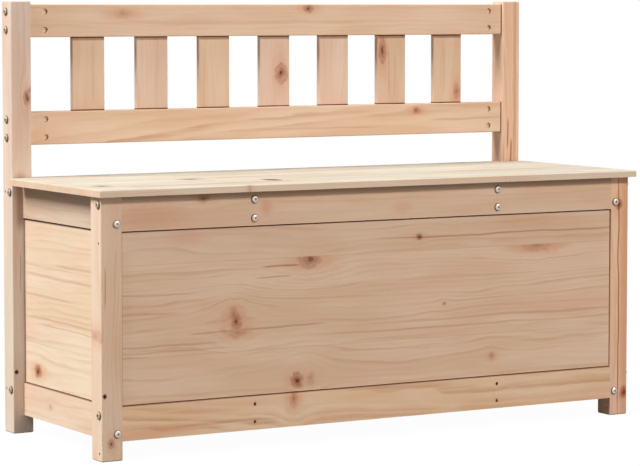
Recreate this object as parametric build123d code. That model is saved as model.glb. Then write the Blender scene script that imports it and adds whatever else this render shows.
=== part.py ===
from build123d import *
import os
from collections import namedtuple

# A pine chest bench: a panelled box on four square legs, a slatted backrest, and a seat that lifts as a lid.
# Millimetres. X runs along the bench to its right end, Y to the back and Z up. The origin is on the floor,
# under the middle of the overall width and depth.

# Frame
frame_width = 1074.0            # over the outer faces of the legs
frame_depth = 392.0             # front faces of the front legs to back faces of the rear posts
post_height = 760.0
leg_size = 38.0                 # front legs and rear posts are square
leg_easing = 1.0                # chamfer along the edges of the legs
end_easing = 1.5                # chamfer round the ends of the legs

# Seat board, which is the lid
seat_height = 451.0             # top of the lid
lid_thickness = 12.0
lid_side_overhang = 8.0
lid_front_overhang = 14.0
lid_rear_gap = 6.0              # room for the closed hinges in front of the rear posts
lid_rest_gap = 0.3              # underside of the lid above the frame
lid_edge_radius = 2.0

# Rails of the box
rail_height = 58.0
rail_thickness = 18.0
lower_rail_lift = 32.0          # floor to the underside of the lower rails

# Panels of the box, tongued into grooves in the rails and legs
panel_thickness = 9.0
panel_recess = 3.0              # panel face behind the rail face
panel_shadow_gap = 1.5          # open line round the face of the panel
tongue_thickness = 6.0
groove_depth = 7.0
tongue_play = 1.0               # room at the bottom of the groove
groove_clearance = 0.15         # each side of the tongue

# Bearers and floor
bearer_inset = 289.0            # outer face of a leg to the middle of a seat bearer or floor bearer
bearer_thickness = 18.0
floor_thickness = 9.0
floor_play = 1.0                # floor panel to the panels and legs

# Hinge strip behind the lid
strip_thickness = 12.0
strip_depth = 18.0
strip_play = 0.5                # each end, to the posts

# Backrest
back_rail_height = 58.0
back_rail_thickness = 30.0
back_rail_recess = 5.0          # rail face behind the front of the posts
back_rail_easing = 1.5
top_rail_drop = 5.0             # top of the posts to the top rail
bottom_rail_lift = 508.0        # floor to the underside of the bottom rail
slat_count = 7
slat_width = 63.0
slat_thickness = 10.0
slat_inset = 87.1               # post to the first slat
slat_recess = 10.0              # slat face behind the rail face
slat_easing = 1.0
slat_tenon = 10.0               # length of slat held in each rail
mortise_clearance = 0.15

# Bolts with barrel nuts
bolt_diameter = 6.0
bolt_clearance = 0.3            # all round, in the wood
bolt_tip = 7.0                  # bolt past the centre of its nut
bolt_tip_play = 3.0             # hole past the end of the bolt
head_diameter = 14.0
head_height = 3.6
head_rim = 0.9                  # straight edge under the dome of the head
head_flat_diameter = 7.0        # flat top of the head
head_bulge = 0.5                # swell of the dome between rim and flat
socket_across_flats = 4.0
socket_depth = 2.2
nut_diameter = 10.0
nut_length = 14.0
nut_clearance = 0.2             # all round, in the wood
nut_thread_clearance = 0.1      # all round, bolt in nut
nut_setback = 30.0              # end of the rail to the centre of the nut
nut_wall = 0.8                  # wood between a nut's hole and the groove of a panel
nut_slot_width = 1.2
nut_slot_depth = 1.5
spare_hole_diameter = 5.0       # holes drilled so that a leg fits at either end
peg_hole_diameter = 6.0
peg_hole_depth = 20.0
peg_hole_height = 109.0
peg_hole_inset = 6.0            # from the outer face of the leg

# Wood screws
screw_diameter = 3.0
screw_head_diameter = 6.0
screw_clearance = 0.1           # all round
screw_point = 3.0               # length of the point
floor_screw_length = 30.0
floor_screw_rows = 3
floor_screw_inset = 58.0        # end of the bearer to its last floor screw
strip_screw_length = 32.0
strip_screw_count = 4
strip_screw_inset = 49.0        # end of the strip to its last screw
bearer_screw_length = 50.0
bearer_screw_head = 4.4
bearer_screw_head_height = 1.5
sunk_hole_diameter = 5.0
sunk_hole_depth = 9.0

# Hinges
hinge_count = 3
hinge_inset = 118.5             # end of the strip to the middle of the last hinge
hinge_length = 60.0
knuckle_count = 5
knuckle_gap = 0.4               # between neighbouring knuckles
barrel_diameter = 5.0
barrel_relief = 0.5             # leaf cut back round the other leaf's knuckles
pin_diameter = 2.4
pin_clearance = 0.05            # all round
pin_overhang = 0.6              # pin past each end of the barrel
leaf_thickness = 1.5
leaf_drop = 10.5                # leaf below the top of the lid
hinge_axis_drop = 2.0           # axis below the top of the lid
hinge_screw_length = 15.0
hinge_screw_diameter = 2.4
hinge_screw_head = 4.4
hinge_screw_spacing = 34.0

# Planes that the pieces share
half_width = frame_width / 2
inner_x = half_width - leg_size
front_y = (lid_front_overhang - frame_depth - head_height) / 2
back_y = front_y + frame_depth
leg_back_y = front_y + leg_size
post_front_y = back_y - leg_size
lid_bottom = seat_height - lid_thickness
frame_top = lid_bottom - lid_rest_gap
side_rail_outer_x = inner_x + rail_thickness
rear_rail_back_y = post_front_y + rail_thickness
upper_rail_z = (frame_top - rail_height, frame_top)
lower_rail_z = (lower_rail_lift, lower_rail_lift + rail_height)
panel_z = (lower_rail_z[1], upper_rail_z[0])
top_rail_z = (post_height - top_rail_drop - back_rail_height, post_height - top_rail_drop)
bottom_rail_z = (bottom_rail_lift, bottom_rail_lift + back_rail_height)
back_rail_y = (post_front_y + back_rail_recess, post_front_y + back_rail_recess + back_rail_thickness)
lid_rear_y = post_front_y - lid_rear_gap
hinge_axis_y = post_front_y - lid_rear_gap / 2
hinge_axis_z = seat_height - hinge_axis_drop
strip_x = inner_x - strip_play
bolt_edge = groove_depth + nut_wall + nut_clearance + nut_diameter / 2
bolt_stagger = rail_height / 2 - bolt_edge
back_bolt_stagger = back_rail_height / 2 - bolt_edge

SIDES = {"left": -1, "right": 1}
LEVELS = {"upper": upper_rail_z, "lower": lower_rail_z}
BACK_RAILS = {"backrest_top_rail": top_rail_z, "backrest_bottom_rail": bottom_rail_z}
RIGHT = Vector(1, 0, 0)
BACK = Vector(0, 1, 0)
UP = Vector(0, 0, 1)

pieces = {}                     # node name to its solid, before the joinery is cut
tools = {}                      # node name to the solids that are cut out of it
groups = {}                     # node name to the solids of a group of like fasteners

BoltedJoint = namedtuple("BoltedJoint", "seat into clamped mouth")


def middle(span):
    return (span[0] + span[1]) / 2


def block(x_span, y_span, z_span):
    """A square-edged piece between two planes in each direction."""
    spans = (x_span, y_span, z_span)
    size = [span[1] - span[0] for span in spans]
    centre = [middle(span) for span in spans]
    return Pos(*centre) * Box(*size)


def mirrored_span(side, low, high):
    """The span from low to high on the right side, or its mirror image on the left."""
    return (low, high) if side > 0 else (-high, -low)


def rod(start, direction, length, diameter):
    """A round bar that starts at a point and runs along a direction."""
    bar = Cylinder(diameter / 2, length, align=(Align.CENTER, Align.CENTER, Align.MIN))
    return Plane(origin=start, z_dir=direction) * bar


def spread(count, last):
    """Places spread evenly about zero, out to the last one on each side."""
    return [last * (2 * i / (count - 1) - 1) for i in range(count)]


def cut_from(tool, *names):
    for name in names:
        tools.setdefault(name, []).append(tool)


def eased(piece, axis, width, keep=None):
    """Chamfer the edges along an axis, apart from those that keep picks out."""
    edges = piece.edges().filter_by(axis)
    if keep:
        edges = edges.filter_by(lambda edge: not keep(edge.center()))
    return chamfer(edges, width)


def eased_end(piece, end):
    """Chamfer round the top or the bottom of an upright piece."""
    return chamfer(piece.faces().sort_by(Axis.Z)[end].edges(), end_easing)


# Bolts and barrel nuts. A joint has the seat of the bolt's head, the direction of the bolt, the thickness of
# wood between the head and the end of the rail, and the way from the bolt's axis to the mouth of the
# nut's hole.
def nut_centre(joint):
    return joint.seat + joint.into * (joint.clamped + nut_setback)


def bolt_hole(joint):
    depth = joint.clamped + nut_setback + bolt_tip + bolt_tip_play
    return rod(joint.seat, joint.into, depth, bolt_diameter + 2 * bolt_clearance)


def nut_hole(joint):
    mouth = nut_centre(joint) + joint.mouth
    depth = joint.mouth.length + nut_length / 2
    return rod(mouth, -joint.mouth, depth, nut_diameter + 2 * nut_clearance)


def furniture_bolt(joint):
    """A round-headed bolt with a hexagon socket."""
    rim_r = head_diameter / 2
    flat_r = head_flat_diameter / 2
    with BuildPart() as bolt:
        with BuildSketch(Plane.XZ):
            with BuildLine():
                Polyline((0, 0), (rim_r, 0), (rim_r, -head_rim))
                SagittaArc((rim_r, -head_rim), (flat_r, -head_height), -head_bulge)
                Polyline((flat_r, -head_height), (0, -head_height), (0, 0))
            make_face()
        revolve(axis=Axis.Z)
    socket = RegularPolygon(socket_across_flats / 2, 6, major_radius=False)
    head = bolt.part - extrude(Pos(0, 0, -head_height) * socket, socket_depth)
    length = joint.clamped + nut_setback + bolt_tip
    shank = Cylinder(bolt_diameter / 2, length, align=(Align.CENTER, Align.CENTER, Align.MIN))
    return Plane(origin=joint.seat, z_dir=joint.into) * (head + shank)


def barrel_nut(joint):
    """A round nut across the bolt, with a slot in the end that faces the mouth of its hole."""
    nut = Cylinder(nut_diameter / 2, nut_length)
    thread = Cylinder(bolt_diameter / 2 + nut_thread_clearance, nut_diameter, rotation=(0, 90, 0))
    slot_z = (nut_length / 2 - nut_slot_depth, nut_length / 2)
    slot = block((-nut_diameter, nut_diameter), (-nut_slot_width / 2, nut_slot_width / 2), slot_z)
    return Plane(origin=nut_centre(joint), x_dir=joint.into, z_dir=joint.mouth) * (nut - [thread, slot])


def fasten(group, joint, through, end_piece):
    """Bolt one piece to the end of another."""
    groups.setdefault(f"{group}_bolts", []).append(furniture_bolt(joint))
    groups.setdefault(f"{group}_nuts", []).append(barrel_nut(joint))
    cut_from(bolt_hole(joint), through, end_piece)
    cut_from(nut_hole(joint), end_piece)


# Wood screws, drawn with the top of the head at the start and the point along the direction
def countersunk(start, direction, length, diameter, head, clearance=0.0):
    """A flat-headed wood screw, or its hole when a clearance is given."""
    shank_r = diameter / 2 + clearance
    head_r = head / 2 + clearance
    end = length + clearance
    outline = [(0, 0), (head_r, 0), (shank_r, head_r - shank_r), (shank_r, end - screw_point), (0, end)]
    with BuildPart() as screw:
        with BuildSketch(Plane.XZ):
            with BuildLine():
                Polyline(*outline, close=True)
            make_face()
        revolve(axis=Axis.Z)
    return Plane(origin=start, z_dir=direction) * screw.part


def screw_down(group, start, direction, length, diameter, head, *names):
    groups.setdefault(group, []).append(countersunk(start, direction, length, diameter, head))
    cut_from(countersunk(start, direction, length, diameter, head, screw_clearance), *names)


def sunk_screw(group, start, direction, through, end_piece):
    """A screw whose head lies deep in a plain hole."""
    seat = start + direction * sunk_hole_depth
    shank = rod(seat, direction, bearer_screw_length, screw_diameter)
    head = rod(seat, -direction, bearer_screw_head_height, bearer_screw_head)
    groups.setdefault(group, []).append(shank + head)
    hole = rod(seat, direction, bearer_screw_length + screw_clearance, screw_diameter + 2 * screw_clearance)
    cut_from(rod(start, direction, sunk_hole_depth, sunk_hole_diameter), through)
    cut_from(hole, through, end_piece)


# Front legs and rear posts
def leg(side, y_span, height):
    return block(mirrored_span(side, inner_x, half_width), y_span, (0, height))


def meets_front_rails(point):
    """Whether a point is on the edge of a front leg that the front rails lie flush with."""
    return abs(point.X) < (inner_x + half_width) / 2 and point.Y < (front_y + leg_back_y) / 2


for word, side in SIDES.items():
    front = leg(side, (front_y, leg_back_y), frame_top)
    front = eased(front, Axis.Z, leg_easing, keep=meets_front_rails)
    pieces[f"front_leg_{word}"] = eased_end(front, 0)
    rear = eased(leg(side, (post_front_y, back_y), post_height), Axis.Z, leg_easing)
    pieces[f"rear_post_{word}"] = eased_end(eased_end(rear, 0), -1)

# Rails of the box, with the front and rear rails between the legs and the side rails flush with their inside
for level, z_span in LEVELS.items():
    pieces[f"front_{level}_rail"] = block((-inner_x, inner_x), (front_y, front_y + rail_thickness), z_span)
    pieces[f"rear_{level}_rail"] = block((-inner_x, inner_x), (post_front_y, rear_rail_back_y), z_span)
    for word, side in SIDES.items():
        x_span = mirrored_span(side, inner_x, side_rail_outer_x)
        pieces[f"side_{level}_rail_{word}"] = block(x_span, (leg_back_y, post_front_y), z_span)


# Panels. Each is drawn as seen from outside, with Y running in from the outer face of its rails.
def panel_slab(length, grow, depth_span):
    half = length / 2 + grow
    return block((-half, half), depth_span, (panel_z[0] - grow, panel_z[1] + grow))


def set_panel(name, place, length, neighbours):
    """A board with a tongue on its edges, and the groove for it in the pieces around it."""
    face = panel_recess
    back = face + panel_thickness
    tongue_face = back - tongue_thickness
    board = panel_slab(length, -panel_shadow_gap, (face, back))
    tongue = panel_slab(length, groove_depth - tongue_play, (tongue_face, back))
    groove = panel_slab(length, groove_depth, (tongue_face - groove_clearance, back + groove_clearance))
    pieces[name] = place * (board + tongue)
    cut_from(place * groove, *neighbours)


side_length = post_front_y - leg_back_y
side_y = (leg_back_y + post_front_y) / 2
set_panel("front_panel", Pos(0, front_y, 0), 2 * inner_x,
          ["front_leg_left", "front_leg_right", "front_upper_rail", "front_lower_rail"])
set_panel("rear_panel", Pos(0, rear_rail_back_y, 0) * Rot(0, 0, 180), 2 * inner_x,
          ["rear_post_left", "rear_post_right", "rear_upper_rail", "rear_lower_rail"])
for word, side in SIDES.items():
    around = [f"front_leg_{word}", f"rear_post_{word}", f"side_upper_rail_{word}", f"side_lower_rail_{word}"]
    set_panel(f"side_panel_{word}", Pos(side * side_rail_outer_x, side_y, 0) * Rot(0, 0, side * 90),
              side_length, around)

# Bearers from front to back, under the seat and under the floor
inside_y = (front_y + rail_thickness, post_front_y)
bearer_centre = half_width - bearer_inset
for word, side in SIDES.items():
    bearer_x = side * bearer_centre
    x_span = (bearer_x - bearer_thickness / 2, bearer_x + bearer_thickness / 2)
    pieces[f"seat_bearer_{word}"] = block(x_span, inside_y, upper_rail_z)
    pieces[f"floor_bearer_{word}"] = block(x_span, inside_y, lower_rail_z)

# Floor of the box, which lies on the lower rails and bearers and is notched round the legs
panel_back = panel_recess + panel_thickness + floor_play
floor_z = (lower_rail_z[1], lower_rail_z[1] + floor_thickness)
floor_x = side_rail_outer_x - panel_back
between_legs_x = inner_x - floor_play
floor_y = (front_y + panel_back, rear_rail_back_y - panel_back)
between_legs_y = (leg_back_y + floor_play, post_front_y - floor_play)
pieces["floor_panel"] = (block((-between_legs_x, between_legs_x), floor_y, floor_z)
                         + block((-floor_x, floor_x), between_legs_y, floor_z))

# Hinge strip on the rear upper rail, between the posts
strip_y = (post_front_y, post_front_y + strip_depth)
strip_z = (frame_top, frame_top + strip_thickness)
pieces["hinge_strip"] = block((-strip_x, strip_x), strip_y, strip_z)

# Backrest rails, with a mortise for each slat
slat_y = (back_rail_y[0] + slat_recess, back_rail_y[0] + slat_recess + slat_thickness)
slat_z = (bottom_rail_z[1] - slat_tenon, top_rail_z[0] + slat_tenon)
for name, z_span in BACK_RAILS.items():
    rail = block((-inner_x, inner_x), back_rail_y, z_span)
    pieces[name] = eased(rail, Axis.X, back_rail_easing)
last_slat_x = inner_x - slat_inset - slat_width / 2
for number, slat_x in enumerate(spread(slat_count, last_slat_x), start=1):
    x_span = (slat_x - slat_width / 2, slat_x + slat_width / 2)
    slat = eased(block(x_span, slat_y, slat_z), Axis.Z, slat_easing)
    pieces[f"back_slat_{number}"] = slat
    room = mortise_clearance
    mortise = block((x_span[0] - room, x_span[1] + room), (slat_y[0] - room, slat_y[1] + room),
                    (slat_z[0] - room, slat_z[1] + room))
    cut_from(mortise, "backrest_top_rail", "backrest_bottom_rail")

# Bolts along the bench, through the legs into the front and rear rails
front_bolt_y = front_y + rail_thickness / 2
rear_bolt_y = post_front_y + rail_thickness / 2
to_nut_mouth = rail_thickness / 2
for word, side in SIDES.items():
    outer_x = side * half_width
    inward = RIGHT * -side
    for level, z_span in LEVELS.items():
        high = middle(z_span) + bolt_stagger
        joint = BoltedJoint(Vector(outer_x, front_bolt_y, high), inward, leg_size, BACK * to_nut_mouth)
        fasten("front_rail", joint, f"front_leg_{word}", f"front_{level}_rail")
        joint = BoltedJoint(Vector(outer_x, rear_bolt_y, high), inward, leg_size, BACK * -to_nut_mouth)
        fasten("rear_rail", joint, f"rear_post_{word}", f"rear_{level}_rail")
        # Spare holes, for a front leg turned end for end and a rear post turned about
        turned_end = Vector(outer_x, front_bolt_y, frame_top - high)
        cut_from(rod(turned_end, inward, leg_size, spare_hole_diameter), f"front_leg_{word}")
        turned_about = Vector(outer_x, back_y - rail_thickness / 2, high)
        cut_from(rod(turned_about, inward, leg_size, spare_hole_diameter), f"rear_post_{word}")

# Bolts from front and back, through the legs into the side rails
for word, side in SIDES.items():
    bolt_x = side * (inner_x + rail_thickness / 2)
    mouth = RIGHT * (-side * to_nut_mouth)
    for level, z_span in LEVELS.items():
        low = middle(z_span) - bolt_stagger
        rail = f"side_{level}_rail_{word}"
        joint = BoltedJoint(Vector(bolt_x, front_y, low), BACK, leg_size, mouth)
        fasten("side_rail", joint, f"front_leg_{word}", rail)
        joint = BoltedJoint(Vector(bolt_x, back_y, low), -BACK, leg_size, mouth)
        fasten("side_rail", joint, f"rear_post_{word}", rail)

# Bolts through the posts into the backrest rails, whose nuts show at the front
back_bolt_y = middle(back_rail_y)
for word, side in SIDES.items():
    for name, z_span in BACK_RAILS.items():
        for offset in (-back_bolt_stagger, back_bolt_stagger):
            seat = Vector(side * half_width, back_bolt_y, middle(z_span) + offset)
            joint = BoltedJoint(seat, RIGHT * -side, leg_size, BACK * (-back_rail_thickness / 2))
            fasten("backrest", joint, f"rear_post_{word}", name)

# Bolts through the upper rails into the seat bearers, and sunk screws through the lower rails
for word, side in SIDES.items():
    bearer_x = side * bearer_centre
    mouth = RIGHT * (side * bearer_thickness / 2)
    for offset in (-bolt_stagger, bolt_stagger):
        for rails, y, inward in (("front", front_y, BACK), ("rear", rear_rail_back_y, -BACK)):
            seat = Vector(bearer_x, y, middle(upper_rail_z) + offset)
            joint = BoltedJoint(seat, inward, rail_thickness, mouth)
            fasten("seat_bearer", joint, f"{rails}_upper_rail", f"seat_bearer_{word}")
            start = Vector(bearer_x, y, middle(lower_rail_z) + offset)
            sunk_screw("floor_bearer_screws", start, inward, f"{rails}_lower_rail", f"floor_bearer_{word}")
    for row in spread(floor_screw_rows, (inside_y[1] - inside_y[0]) / 2 - floor_screw_inset):
        start = Vector(bearer_x, middle(inside_y) + row, floor_z[1])
        screw_down("floor_screws", start, -UP, floor_screw_length, screw_diameter, screw_head_diameter,
                   "floor_panel", f"floor_bearer_{word}")

# Screws that hold the hinge strip down
for x in spread(strip_screw_count, strip_x - strip_screw_inset):
    start = Vector(x, middle(strip_y), strip_z[1])
    screw_down("hinge_strip_screws", start, -UP, strip_screw_length, screw_diameter, screw_head_diameter,
               "hinge_strip", "rear_upper_rail")

# Peg holes in the front faces of the two left legs
for name, y in {"front_leg_left": front_y, "rear_post_left": post_front_y}.items():
    start = Vector(-half_width + peg_hole_inset, y, peg_hole_height)
    cut_from(rod(start, BACK, peg_hole_depth, peg_hole_diameter), name)

# Lid, with its top edges rounded
lid = block((-half_width - lid_side_overhang, half_width + lid_side_overhang),
            (front_y - lid_front_overhang, lid_rear_y), (lid_bottom, seat_height))
pieces["lid_panel"] = fillet(lid.faces().sort_by(Axis.Z)[-1].edges(), lid_edge_radius)


# Hinges, drawn about their own axis along X
def barrel(diameter, x_span):
    return rod(Vector(x_span[0], 0, 0), RIGHT, x_span[1] - x_span[0], diameter)


def hinge_leaf(y_side, own):
    """A leaf on one side of the axis with every second knuckle of the barrel."""
    wood = lid_rear_gap / 2
    y_span = mirrored_span(y_side, wood - leaf_thickness, wood)
    z_span = (hinge_axis_drop - leaf_drop, 0)
    leaf = block((-hinge_length / 2, hinge_length / 2), y_span, z_span)
    step = hinge_length / knuckle_count
    half_gap = knuckle_gap / 2
    own_knuckles = []
    reliefs = []
    for i in range(knuckle_count):
        low = -hinge_length / 2 + i * step
        high = low + step
        if i % 2 == own:
            own_knuckles.append(barrel(barrel_diameter, (low + half_gap, high - half_gap)))
        else:
            reliefs.append(barrel(barrel_diameter + 2 * barrel_relief, (low - half_gap, high + half_gap)))
    bore = barrel(pin_diameter + 2 * pin_clearance, (-hinge_length, hinge_length))
    return (leaf - reliefs) + own_knuckles - bore


hinge_screw_z = middle((seat_height - leaf_drop, hinge_axis_z - barrel_diameter / 2))
for number, x in enumerate(spread(hinge_count, strip_x - hinge_inset), start=1):
    place = Pos(x, hinge_axis_y, hinge_axis_z)
    pieces[f"hinge_base_leaf_{number}"] = place * hinge_leaf(1, 0)
    pieces[f"hinge_lid_leaf_{number}"] = place * hinge_leaf(-1, 1)
    pin_half = hinge_length / 2 + pin_overhang
    pieces[f"hinge_pin_{number}"] = place * barrel(pin_diameter, (-pin_half, pin_half))
    for along in (-hinge_screw_spacing / 2, hinge_screw_spacing / 2):
        base_face = Vector(x + along, post_front_y - leaf_thickness, hinge_screw_z)
        screw_down("hinge_base_screws", base_face, BACK, hinge_screw_length, hinge_screw_diameter,
                   hinge_screw_head, f"hinge_base_leaf_{number}", "hinge_strip")
        lid_face = Vector(x + along, lid_rear_y + leaf_thickness, hinge_screw_z)
        screw_down("hinge_lid_screws", lid_face, -BACK, hinge_screw_length, hinge_screw_diameter,
                   hinge_screw_head, f"hinge_lid_leaf_{number}", "lid_panel")

# Cut the joinery and write one file for each node
os.makedirs("parts", exist_ok=True)
for name, piece in pieces.items():
    finished = piece - tools[name] if name in tools else piece
    export_step(finished, f"parts/{name}.step")
for name, solids in groups.items():
    export_step(Compound(children=solids), f"parts/{name}.step")
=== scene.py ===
# %% [markdown]
# A pine storage bench with a slatted back. The joiner's solids come in as a fixed frame, in metres, with
# the origin on the floor under the middle of the bench. This lesson gives that frame its finish: sawn pine
# with knots and glue lines, zinc-plated bolts and nuts, a pale floor, soft light and a camera.

# %% Load the frame
import math
import bpy
import bmesh
from mathutils import Matrix, Vector


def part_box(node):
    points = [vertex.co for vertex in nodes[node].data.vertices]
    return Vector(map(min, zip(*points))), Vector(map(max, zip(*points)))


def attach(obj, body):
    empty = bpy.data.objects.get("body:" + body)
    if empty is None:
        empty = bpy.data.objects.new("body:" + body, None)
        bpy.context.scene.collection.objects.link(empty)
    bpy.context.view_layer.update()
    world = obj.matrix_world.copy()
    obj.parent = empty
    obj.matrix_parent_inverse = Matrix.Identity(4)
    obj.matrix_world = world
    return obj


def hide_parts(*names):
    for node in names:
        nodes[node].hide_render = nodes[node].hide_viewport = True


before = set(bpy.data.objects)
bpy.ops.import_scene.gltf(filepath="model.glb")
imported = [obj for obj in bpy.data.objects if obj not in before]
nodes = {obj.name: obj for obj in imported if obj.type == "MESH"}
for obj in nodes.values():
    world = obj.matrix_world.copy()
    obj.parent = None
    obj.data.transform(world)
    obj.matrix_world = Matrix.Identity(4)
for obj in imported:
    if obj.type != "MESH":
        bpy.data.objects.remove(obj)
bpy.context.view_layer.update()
bpy.ops.object.select_all(action="DESELECT")

# %% [markdown]
# The photograph was taken with a long lens from the left, above the seat, and its posts stand nearly
# upright. A camera that is tilted down makes them lean, so part of the tilt is done by shifting the lens,
# as on a view camera. The shift stays small, because it would push the bench out of the picture from other
# sides. The lens is given in pixels of a picture 640 wide.

# %% Camera
PICTURE_WIDTH = 640
SENSOR_WIDTH = 36           # mm
LENS_PIXELS = 2741.9
COMPASS = 0.5313            # radians to the right of straight ahead
TILT_DOWN = 0.0690          # radians
CAMERA_PLACE = (-2.4981, -4.2379, 0.7532)
LENS_SHIFT = -0.06

bpy.ops.object.camera_add(location=CAMERA_PLACE, rotation=(math.pi / 2 - TILT_DOWN, 0, -COMPASS))
camera = bpy.context.object
camera.name = "camera"
camera.data.sensor_width = SENSOR_WIDTH
camera.data.lens = LENS_PIXELS * SENSOR_WIDTH / PICTURE_WIDTH
camera.data.shift_y = LENS_SHIFT
camera.data.clip_end = 100
bpy.context.scene.camera = camera
bpy.context.scene.view_settings.view_transform = "Standard"
print("camera lens in mm:", round(camera.data.lens, 1))

# %% [markdown]
# Shader trees are easier to read as sums than as wires. These small helpers add a node, feed each of its
# inputs with a number or with another node's output, and hand back the output.

# %% Helpers for shader trees
def feed(tree, socket, value):
    """Link a socket to another node's output, or set its own value."""
    if isinstance(value, bpy.types.NodeSocket):
        tree.links.new(value, socket)
    else:
        socket.default_value = value


def add_node(tree, kind, settings=None, **inputs):
    """A shader node of a kind with its settings, and its inputs by name with _ for a space."""
    made = tree.nodes.new("ShaderNode" + kind)
    for name, value in (settings or {}).items():
        setattr(made, name, value)
    for name, value in inputs.items():
        feed(tree, made.inputs[name.replace("_", " ")], value)
    return made


def sums(tree, operation, *values):
    """A Math node, as in sums(tree, "POWER", a, b)."""
    made = add_node(tree, "Math", {"operation": operation})
    for socket, value in zip(made.inputs, values):
        feed(tree, socket, value)
    return made.outputs[0]


def times(tree, product, *others):
    """Two or more values multiplied."""
    for value in others:
        product = sums(tree, "MULTIPLY", product, value)
    return product


def plus(tree, total, *others):
    """Two or more values added up."""
    for value in others:
        total = sums(tree, "ADD", total, value)
    return total


def minus(tree, value, less):
    """One value less another."""
    return sums(tree, "SUBTRACT", value, less)


def vector_sums(tree, operation, *values):
    """A Vector Math node."""
    made = add_node(tree, "VectorMath", {"operation": operation})
    for socket, value in zip(made.inputs, values):
        feed(tree, socket, value)
    return made.outputs["Value" if operation in ("LENGTH", "DOT_PRODUCT") else "Vector"]


def ramp(tree, value, low, high, start=0.0, end=1.0):
    """A smooth step from start to end while the value goes from low to high."""
    made = add_node(tree, "MapRange", {"interpolation_type": "SMOOTHSTEP"}, Value=value,
                    From_Min=low, From_Max=high, To_Min=start, To_Max=end)
    return made.outputs["Result"]


def blend(tree, amount, under, over, mode="MIX"):
    """One colour laid over another by an amount."""
    made = add_node(tree, "Mix", {"data_type": "RGBA", "blend_type": mode})
    for index, value in ((0, amount), (6, under), (7, over)):    # its sockets for colours
        feed(tree, made.inputs[index], value)
    return made.outputs[2]


def noise(tree, place, stretch, detail=2.0, output="Fac"):
    """Cloudy noise whose cells have a size in mm along each axis."""
    scaled = vector_sums(tree, "DIVIDE", place, stretch)
    return add_node(tree, "TexNoise", Vector=scaled, Scale=1.0, Detail=detail).outputs[output]


def chance(tree, number):
    """A random value from 0 to 1, always the same for the same number."""
    return add_node(tree, "TexWhiteNoise", {"noise_dimensions": "1D"}, W=number).outputs["Value"]


def far(tree, one_way, other_way):
    """How far a place is that lies so far one way and so far the other."""
    squares = [sums(tree, "POWER", part, 2.0) for part in (one_way, other_way)]
    return sums(tree, "SQRT", plus(tree, *squares))


def paint(red, green, blue):
    """A colour written as it looks on a screen, 0 to 255, turned into light."""
    parts = [v / 255 for v in (red, green, blue)]
    return [v / 12.92 if v <= 0.04045 else ((v + 0.055) / 1.055) ** 2.4 for v in parts] + [1.0]


def new_group(name, inputs, outputs):
    """A node group. An input is a number, a list for a colour, or a tuple or nothing for a vector. Returns
    the tree, the inputs given to it and the results that it puts out."""
    tree = bpy.data.node_groups.new(name, "ShaderNodeTree")
    for label, value in inputs.items():
        kind = {float: "Float", list: "Color"}.get(type(value), "Vector")
        socket = tree.interface.new_socket(name=label, in_out="INPUT", socket_type="NodeSocket" + kind)
        if value is not None:
            socket.default_value = value
    for label, kind in outputs.items():
        tree.interface.new_socket(name=label, in_out="OUTPUT", socket_type="NodeSocket" + kind)
    entry = tree.nodes.new("NodeGroupInput")
    exit_node = tree.nodes.new("NodeGroupOutput")
    return tree, entry.outputs, exit_node.inputs


def place_group(tree, group, **inputs):
    """A group in a tree, with its inputs by name. Returns its outputs."""
    return add_node(tree, "Group", {"node_tree": group}, **inputs).outputs


def new_finish(name):
    """An empty material and its tree."""
    finish = bpy.data.materials.new(name)
    finish.use_nodes = True
    finish.node_tree.nodes.clear()
    return finish, finish.node_tree


def dress(piece, finish):
    """Give a piece one finish."""
    piece.data.materials.clear()
    piece.data.materials.append(finish)


print("helpers ready")

# %% [markdown]
# A product picture stands on nothing that can be seen. The floor is a plain white sheet that still takes a
# soft shadow near the bench, but most of what the camera sees of it is plain white, so it joins the white
# room behind without a horizon. Towards the bench it throws back less light than it shows, because the
# photograph's bench is quite dark under the edge of its seat.

# %% Floor and room
ROOM_LIGHT = 0.12            # how bright the room is as a light, where 1 is white
ROOM_SHINE = 0.75            # how bright it is in a mirror
FLOOR_WHITENESS = 0.975      # how much of the floor near the bench is plain white
SHADOW_REACH = (1.0, 1.8)    # metres from the middle, between which the shadow fades out
FLOOR_SIZE = 40              # metres
FLOOR_SEEN = paint(252, 252, 252)
FLOOR_THROWN_BACK = paint(106, 105, 104)


def seen_white(tree, whiteness=1.0):
    """How much of a surface looks white: to the camera, less so in a mirror, and not at all as a light."""
    rays = add_node(tree, "LightPath").outputs
    mirrored = times(tree, rays["Is Glossy Ray"], ROOM_SHINE)
    return sums(tree, "MAXIMUM", times(tree, rays["Is Camera Ray"], whiteness), mirrored)


bpy.ops.mesh.primitive_plane_add(size=FLOOR_SIZE, location=(0, 0, 0))
floor = bpy.context.object
floor.name = "floor"
floor_finish, tree = new_finish("pale_floor")
camera_ray = add_node(tree, "LightPath").outputs["Is Camera Ray"]
away = vector_sums(tree, "LENGTH", add_node(tree, "TexCoord").outputs["Object"])
whiteness = ramp(tree, away, *SHADOW_REACH, FLOOR_WHITENESS, 1.0)
floor_colour = blend(tree, camera_ray, FLOOR_THROWN_BACK, FLOOR_SEEN)
matte = add_node(tree, "BsdfDiffuse", Color=floor_colour)
white = add_node(tree, "Emission", Color=paint(255, 255, 255), Strength=1.0)
sheet = add_node(tree, "MixShader")
for socket, value in zip(sheet.inputs, (seen_white(tree, whiteness), matte.outputs[0], white.outputs[0])):
    feed(tree, socket, value)
add_node(tree, "OutputMaterial", Surface=sheet.outputs[0])
dress(floor, floor_finish)

room = bpy.data.worlds.new("white_room")
bpy.context.scene.world = room
room.use_nodes = True
tree = room.node_tree
tree.nodes.clear()
strength = sums(tree, "MAXIMUM", seen_white(tree), ROOM_LIGHT)
sky = add_node(tree, "Background", Color=paint(255, 255, 255), Strength=strength)
add_node(tree, "OutputWorld", Surface=sky.outputs[0])
print("floor and room ready")

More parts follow.
